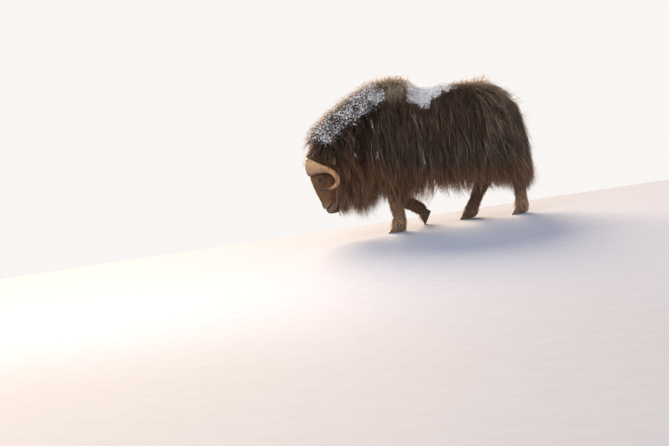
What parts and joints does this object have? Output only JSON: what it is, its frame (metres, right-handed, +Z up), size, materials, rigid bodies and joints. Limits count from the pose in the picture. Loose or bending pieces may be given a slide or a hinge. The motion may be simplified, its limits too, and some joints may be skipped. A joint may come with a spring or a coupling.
{
  "type": "muskox",
  "caption": "Still life-size bull muskox in a head-down pushing stance, with a long hanging coat and down-curved horns.",
  "frame": {"origin": "on the ground, under the middle of the bounding box", "axes": "-X is the way the animal faces, +Z is up, and its left side faces -Y"},
  "size_m": [1.9746, 0.7582, 1.3549],
  "materials": {
    "coat": "matt long guard hair, dark chocolate brown, sun-bleached warm brown at the tips",
    "face": "short dense matt hair, dark brown, with a bare dark muzzle rim",
    "leg": "short matt hair, pale greyish brown",
    "horn": "semi-matt ribbed keratin, cream-tan boss and dark smooth tips",
    "claw": "semi-matt dark keratin",
    "eye": "wet gloss, dark brown"
  },
  "bodies": {
    "root": {"head": "face", "neck": "coat", "shoulders": "coat", "barrel": "coat", "rump": "coat", "tail": "coat", "horn_left": "horn", "eye_left": "eye", "ear_left": "face", "horn_right": "horn", "eye_right": "eye", "ear_right": "face", "leg_front_left": "leg", "claw_front_left_inner": "claw", "claw_front_left_outer": "claw", "leg_front_right": "leg", "claw_front_right_inner": "claw", "claw_front_right_outer": "claw", "leg_hind_left": "leg", "claw_hind_left_inner": "claw", "claw_hind_left_outer": "claw", "leg_hind_right": "leg", "claw_hind_right_inner": "claw", "claw_hind_right_outer": "claw"}
  },
  "joints": []
}
